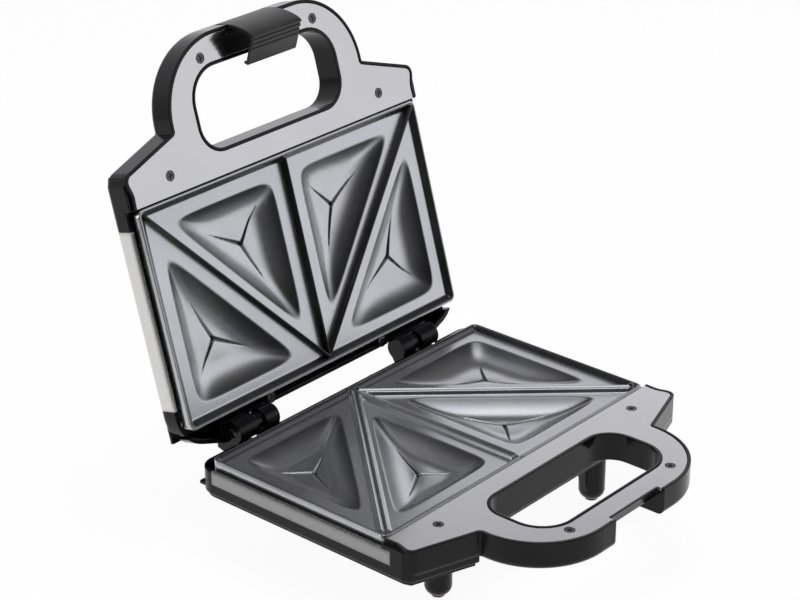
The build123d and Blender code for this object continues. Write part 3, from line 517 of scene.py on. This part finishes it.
def blade(vertices, faces, start, end):
    """A narrow sealing blade with rounded ends and a rounded crest."""
    along = np.subtract(end, start)
    length = hypot(*along)
    ux, uy = along / length
    outline = []
    turns = 8
    for tip, direction in ((start, -1), (end, 1)):
        for k in range(turns + 1):
            angle = -pi / 2 + pi * k / turns
            outline.append((tip, direction, angle))
    levels = [(blade_base, -0.6), (blade_base, 0.1), (blade_tip + 0.15, blade_height - 0.5)]
    levels += [(blade_tip - 0.08, blade_height - 0.12), (blade_tip - 0.35, blade_height)]
    first = len(vertices)
    for half_width, height in levels:
        for tip, direction, angle in outline:
            forward = direction * cos(angle) * half_width
            aside = direction * sin(angle) * half_width
            vertices.append((
                tip[0] + ux * forward - uy * aside,
                tip[1] + uy * forward + ux * aside,
                -land + height,
            ))
    count = len(outline)
    for level in range(len(levels) - 1):
        for k in range(count):
            following = (k + 1) % count
            a = first + level * count
            faces.append((a + k, a + following, a + count + following, a + count + k))
    faces.append(tuple(first + (len(levels) - 1) * count + k for k in range(count)))
    faces.append(tuple(first + count - 1 - k for k in range(count)))


def mark_sharp(piece, degrees):
    """Keeps edges sharper than an angle crisp under smooth shading."""
    work = bmesh.new()
    work.from_mesh(piece.data)
    limit = radians(degrees)
    for edge in work.edges:
        edge.smooth = len(edge.link_faces) == 2 and edge.calc_face_angle(0) < limit
    work.to_mesh(piece.data)
    work.free()


cooking_plate("base")
cooking_plate("lid")


# ---------------------------------------------------------------- latch
# its outline is about its pivot: first number inward along the handle, second over the panel
latch_half = 20.5
latch_edge = 0.35
latch_pivot = (-223.2, -11.5)     # y and z in the lid's own axes
latch_barrel = 3.2
crown_tip = (5.8, 29.5)
flap_start = (22.3, 19.5)
grip_grooves = 3
grip_pitch = 3.1
grip_start = 1.0
grip_depth = 0.75


def arc_points(start, middle, end, count):
    """Points on the circle through three points."""
    (ax, ay), (bx, by), (cx, cy) = start, middle, end
    span = 2 * (ax * (by - cy) + bx * (cy - ay) + cx * (ay - by))
    squares = [x * x + y * y for x, y in (start, middle, end)]
    ox = (squares[0] * (by - cy) + squares[1] * (cy - ay) + squares[2] * (ay - by)) / span
    oy = (squares[0] * (cx - bx) + squares[1] * (ax - cx) + squares[2] * (bx - ax)) / span
    turn = [np.arctan2(y - oy, x - ox) for x, y in (start, middle, end)]
    turn = np.unwrap(turn)
    radius = hypot(ax - ox, ay - oy)
    return [
        (ox + radius * cos(a), oy + radius * sin(a)) for a in np.linspace(turn[0], turn[2], count)
    ]


def latch_grip():
    """Grooves across the slope from the crown to the flap."""
    start = np.array(crown_tip)
    along = np.subtract(flap_start, crown_tip)
    along = along / hypot(*along)
    inward = grip_depth * np.array((along[1], -along[0]))
    points = []
    for k in range(grip_grooves):
        at = start + along * (grip_start + k * grip_pitch)
        points += [at, at + along * 0.5 + inward, at + along * 1.3 + inward, at + along * 1.8]
    return [tuple(point) for point in points]


def latch_outline():
    """Side outline of the latch: back of the arm, crown, grip, flap, hollow inside, barrel."""
    back = arc_points((-latch_barrel, 0), (-1.4, 17.0), (3.6, 27.6), 14)
    crown = [(4.9, 29.0), crown_tip]
    flap = [(21.3, 20.1), (21.9, 19.4), (20.9, 17.5), (20.0, 16.9), (19.4, 17.5), (19.9, 18.5)]
    hollow = [(19.2, 19.3), (7.4, 26.5), (6.0, 26.6)]
    front = arc_points((5.2, 25.4), (0.9, 16.3), (-0.9, 2.9), 12)
    turns = np.linspace(1.25, -pi, 22)[:-1]
    barrel = [(latch_barrel * cos(a), latch_barrel * sin(a)) for a in turns]
    return back + crown + latch_grip() + flap + hollow + front + barrel


def latch_piece():
    """The latch arm: its outline carried along the hinge direction, the end corners eased."""
    points = np.array(latch_outline())
    count = len(points)
    before, after = np.roll(points, 1, axis=0), np.roll(points, -1, axis=0)
    tangent = after - before
    normal = np.column_stack((tangent[:, 1], -tangent[:, 0]))
    normal = normal / np.maximum(np.hypot(normal[:, 0], normal[:, 1]), 1e-9)[:, None]
    area = np.sum(points[:, 0] * after[:, 1] - after[:, 0] * points[:, 1]) / 2
    inward = -normal if area > 0 else normal
    full = latch_half - latch_edge
    sections = [(-latch_half, latch_edge), (-full, 0.0), (full, 0.0), (latch_half, latch_edge)]
    vertices, faces = [], []
    for x, draw in sections:
        for along, over in points + inward * draw:
            vertices.append((x, latch_pivot[0] + along, latch_pivot[1] + over))
    for level in range(len(sections) - 1):
        for k in range(count):
            following = (k + 1) % count
            a, b = level * count, (level + 1) * count
            faces.append((a + k, a + following, b + following, b + k))
    faces.append(tuple(reversed(range(count))))
    faces.append(tuple((len(sections) - 1) * count + k for k in range(count)))
    piece = mesh_piece("latch_arm", "lid", vertices, faces, "latch_plastic", "latch")
    mark_sharp(piece, 32)
    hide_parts("latch")


latch_piece()


# ---------------------------------------------------------------- stage, light and camera
TARGET = Vector((0.11189, hinge.y + 0.04560, hinge.z))
AZIMUTH, ELEVATION, ROLL = radians(-49.2), radians(25.22), radians(0.06)
DISTANCE = 1.5622
FOCAL_PIXELS = 2413.55
IMAGE_WIDTH = 800
CENTRE_X = 399.4
SENSOR = 36.0
FLOOR_RADIUS = 1.5
FLOOR_SHIFT = 0.62


def make_camera():
    back = Vector((
        sin(AZIMUTH) * cos(ELEVATION),
        -cos(AZIMUTH) * cos(ELEVATION),
        sin(ELEVATION),
    ))
    data = bpy.data.cameras.new("camera")
    data.sensor_width = SENSOR
    data.lens = FOCAL_PIXELS / IMAGE_WIDTH * SENSOR
    data.shift_x = (IMAGE_WIDTH / 2 - CENTRE_X) / IMAGE_WIDTH
    data.clip_start, data.clip_end = 0.05, 30
    camera = bpy.data.objects.new("camera", data)
    bpy.context.scene.collection.objects.link(camera)
    turn = (-back).to_track_quat("-Z", "Y").to_matrix() @ Matrix.Rotation(ROLL, 3, "Z")
    camera.matrix_world = Matrix.Translation(TARGET + back * DISTANCE) @ turn.to_4x4()
    bpy.context.scene.camera = camera


def area_lamp(name, place, size, energy, aim=(0, 0, 0.12)):
    data = bpy.data.lights.new(name, "AREA")
    data.shape = "RECTANGLE"
    data.size, data.size_y = size
    data.energy = energy
    lamp = bpy.data.objects.new(name, data)
    bpy.context.scene.collection.objects.link(lamp)
    lamp.location = place
    lamp.rotation_euler = (Vector(aim) - Vector(place)).to_track_quat("-Z", "Y").to_euler()
    return lamp


def floor_material():
    """Pale floor: near white to camera, glossy and transmission rays, with a soft shadow."""
    made, shader = material("floor")
    shader.inputs["Base Color"].default_value = (0.86, 0.86, 0.86, 1)
    shader.inputs["Roughness"].default_value = 0.9
    glow = node(made, "ShaderNodeEmission", Strength=1.0)
    path = node(made, "ShaderNodeLightPath")
    mirror = node(made, "ShaderNodeMath", operation="MAXIMUM")
    link(made, path.outputs["Is Glossy Ray"], mirror.inputs[0])
    link(made, path.outputs["Is Transmission Ray"], mirror.inputs[1])
    seen = node(made, "ShaderNodeMath", operation="MULTIPLY")
    link(made, path.outputs["Is Camera Ray"], seen.inputs[0])
    seen.inputs[1].default_value = 0.95
    share = node(made, "ShaderNodeMath", operation="MAXIMUM")
    link(made, mirror.outputs[0], share.inputs[0])
    link(made, seen.outputs[0], share.inputs[1])
    mix = node(made, "ShaderNodeMixShader")
    link(made, share.outputs[0], mix.inputs["Fac"])
    link(made, shader.outputs["BSDF"], mix.inputs[1])
    link(made, glow.outputs["Emission"], mix.inputs[2])
    link(made, mix.outputs["Shader"], made.node_tree.nodes["Material Output"].inputs["Surface"])
    return made


def make_floor():
    work = bmesh.new()
    bmesh.ops.create_circle(work, cap_ends=True, radius=FLOOR_RADIUS, segments=96)
    data = bpy.data.meshes.new("floor")
    work.to_mesh(data)
    work.free()
    floor = bpy.data.objects.new("floor", data)
    bpy.context.scene.collection.objects.link(floor)
    floor.location = (FLOOR_SHIFT, FLOOR_SHIFT, -0.0002)
    data.materials.append(floor_material())


def make_world():
    """White to the camera. Other rays see a studio: bright low on the right and behind,
    dark on the left front and overhead."""
    world = bpy.data.worlds.new("studio")
    bpy.context.scene.world = world
    world.use_nodes = True
    tree = world.node_tree

    def spread(source, low, high, bottom, top):
        item = tree.nodes.new("ShaderNodeMapRange")
        item.interpolation_type = "SMOOTHSTEP"
        limits = {"From Min": low, "From Max": high, "To Min": bottom, "To Max": top}
        for key, value in limits.items():
            item.inputs[key].default_value = value
        tree.links.new(source, item.inputs["Value"])
        return item.outputs["Result"]

    def toward(direction):
        item = tree.nodes.new("ShaderNodeVectorMath")
        item.operation = "DOT_PRODUCT"
        item.inputs[1].default_value = direction
        tree.links.new(place.outputs["Generated"], item.inputs[0])
        return item.outputs["Value"]

    def times(first, second):
        item = tree.nodes.new("ShaderNodeMath")
        item.operation = "MULTIPLY"
        tree.links.new(first, item.inputs[0])
        tree.links.new(second, item.inputs[1])
        return item.outputs["Value"]

    place = tree.nodes.new("ShaderNodeTexCoord")
    side = spread(toward((0.8, 0.5, 0)), -0.50, 0.12, 0.02, 1.05)
    low = spread(toward((0, 0, 1)), 0.41, 0.68, 1.0, 0.04)
    top = spread(toward((0, 0, 1)), 0.90, 0.96, 0.0, 1.6)
    background = tree.nodes["Background"]
    background.inputs["Color"].default_value = (0.97, 0.97, 1.0, 1)
    whole = tree.nodes.new("ShaderNodeMath")
    whole.operation = "ADD"
    tree.links.new(times(side, low), whole.inputs[0])
    tree.links.new(top, whole.inputs[1])
    tree.links.new(whole.outputs["Value"], background.inputs["Strength"])
    path = tree.nodes.new("ShaderNodeLightPath")
    mix = tree.nodes.new("ShaderNodeMixShader")
    white = tree.nodes.new("ShaderNodeBackground")
    white.inputs["Strength"].default_value = 1.0
    white.inputs["Color"].default_value = (1, 1, 1, 1)
    tree.links.new(path.outputs["Is Camera Ray"], mix.inputs["Fac"])
    tree.links.new(background.outputs["Background"], mix.inputs[1])
    tree.links.new(white.outputs["Background"], mix.inputs[2])
    tree.links.new(mix.outputs["Shader"], tree.nodes["World Output"].inputs["Surface"])


make_camera()
make_floor()
make_world()
key = area_lamp("key", (0.1, -0.1, 1.7), (1.0, 1.0), 20)
key.visible_glossy = False
area_lamp("left_strip", (-1.5, 0.6, 0.7), (0.25, 1.2), 4)
bpy.context.scene.view_settings.view_transform = "Standard"
